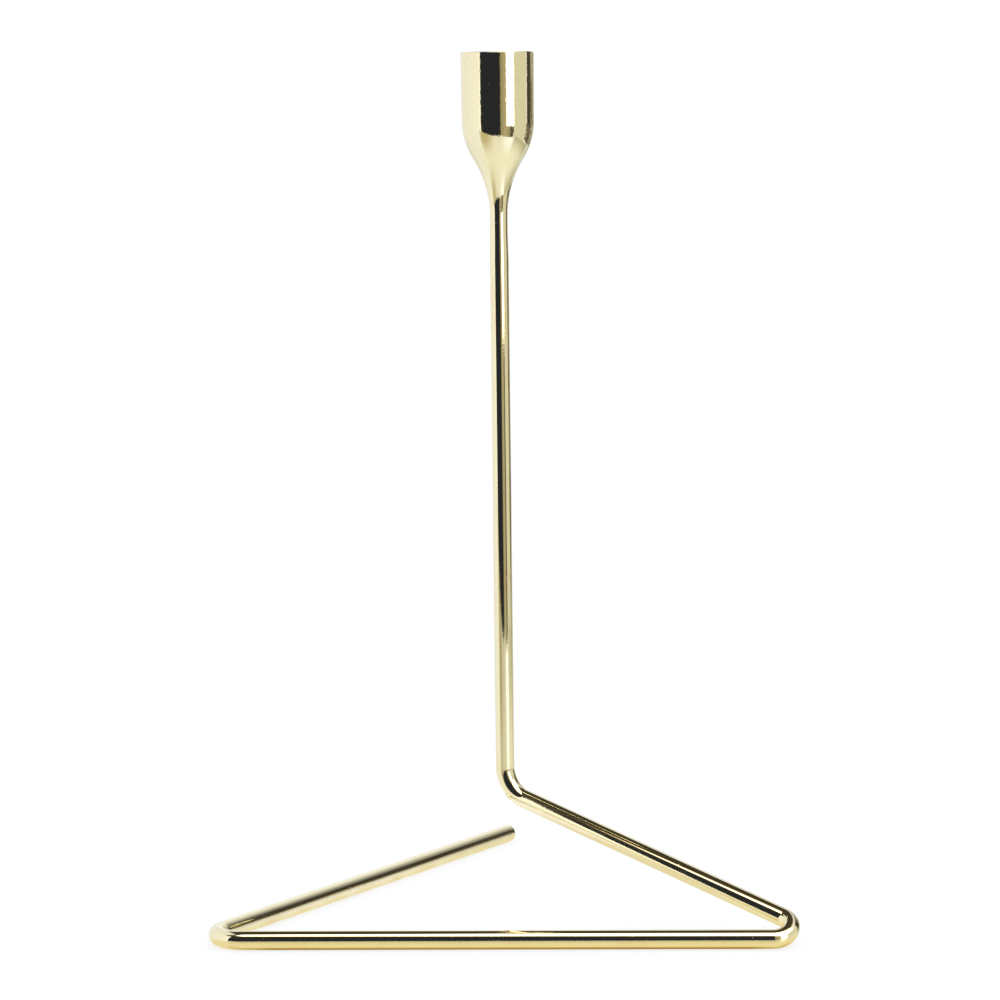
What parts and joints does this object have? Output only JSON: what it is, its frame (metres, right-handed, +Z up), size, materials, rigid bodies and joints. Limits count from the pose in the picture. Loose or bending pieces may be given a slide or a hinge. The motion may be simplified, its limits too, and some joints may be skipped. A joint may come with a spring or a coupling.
{
  "type": "candlestick",
  "caption": "Candlestick bent from one round brass rod, with an open triangular foot, a slim stem and a turned cup for a taper candle.",
  "frame": {"origin": "centre of the footprint's box at table level", "axes": "+Z up along the stem, +Y from the straight front bar towards the free end of the rod, +X to the right"},
  "size_m": [0.1958, 0.1738, 0.293],
  "materials": {
    "rod_brass": "polished pale brass rod, drawn lines along the rod, fine handling scratches",
    "cup_brass": "polished turned brass, faint turning lines around the cup",
    "stud_brass": "plain unpolished brass pin",
    "solder": "pale silver solder filed flush and polished"
  },
  "bodies": {
    "root": {"bent_rod": "rod_brass", "candle_cup": "cup_brass", "joining_stud": "stud_brass", "solder_seam": "solder"}
  },
  "joints": []
}
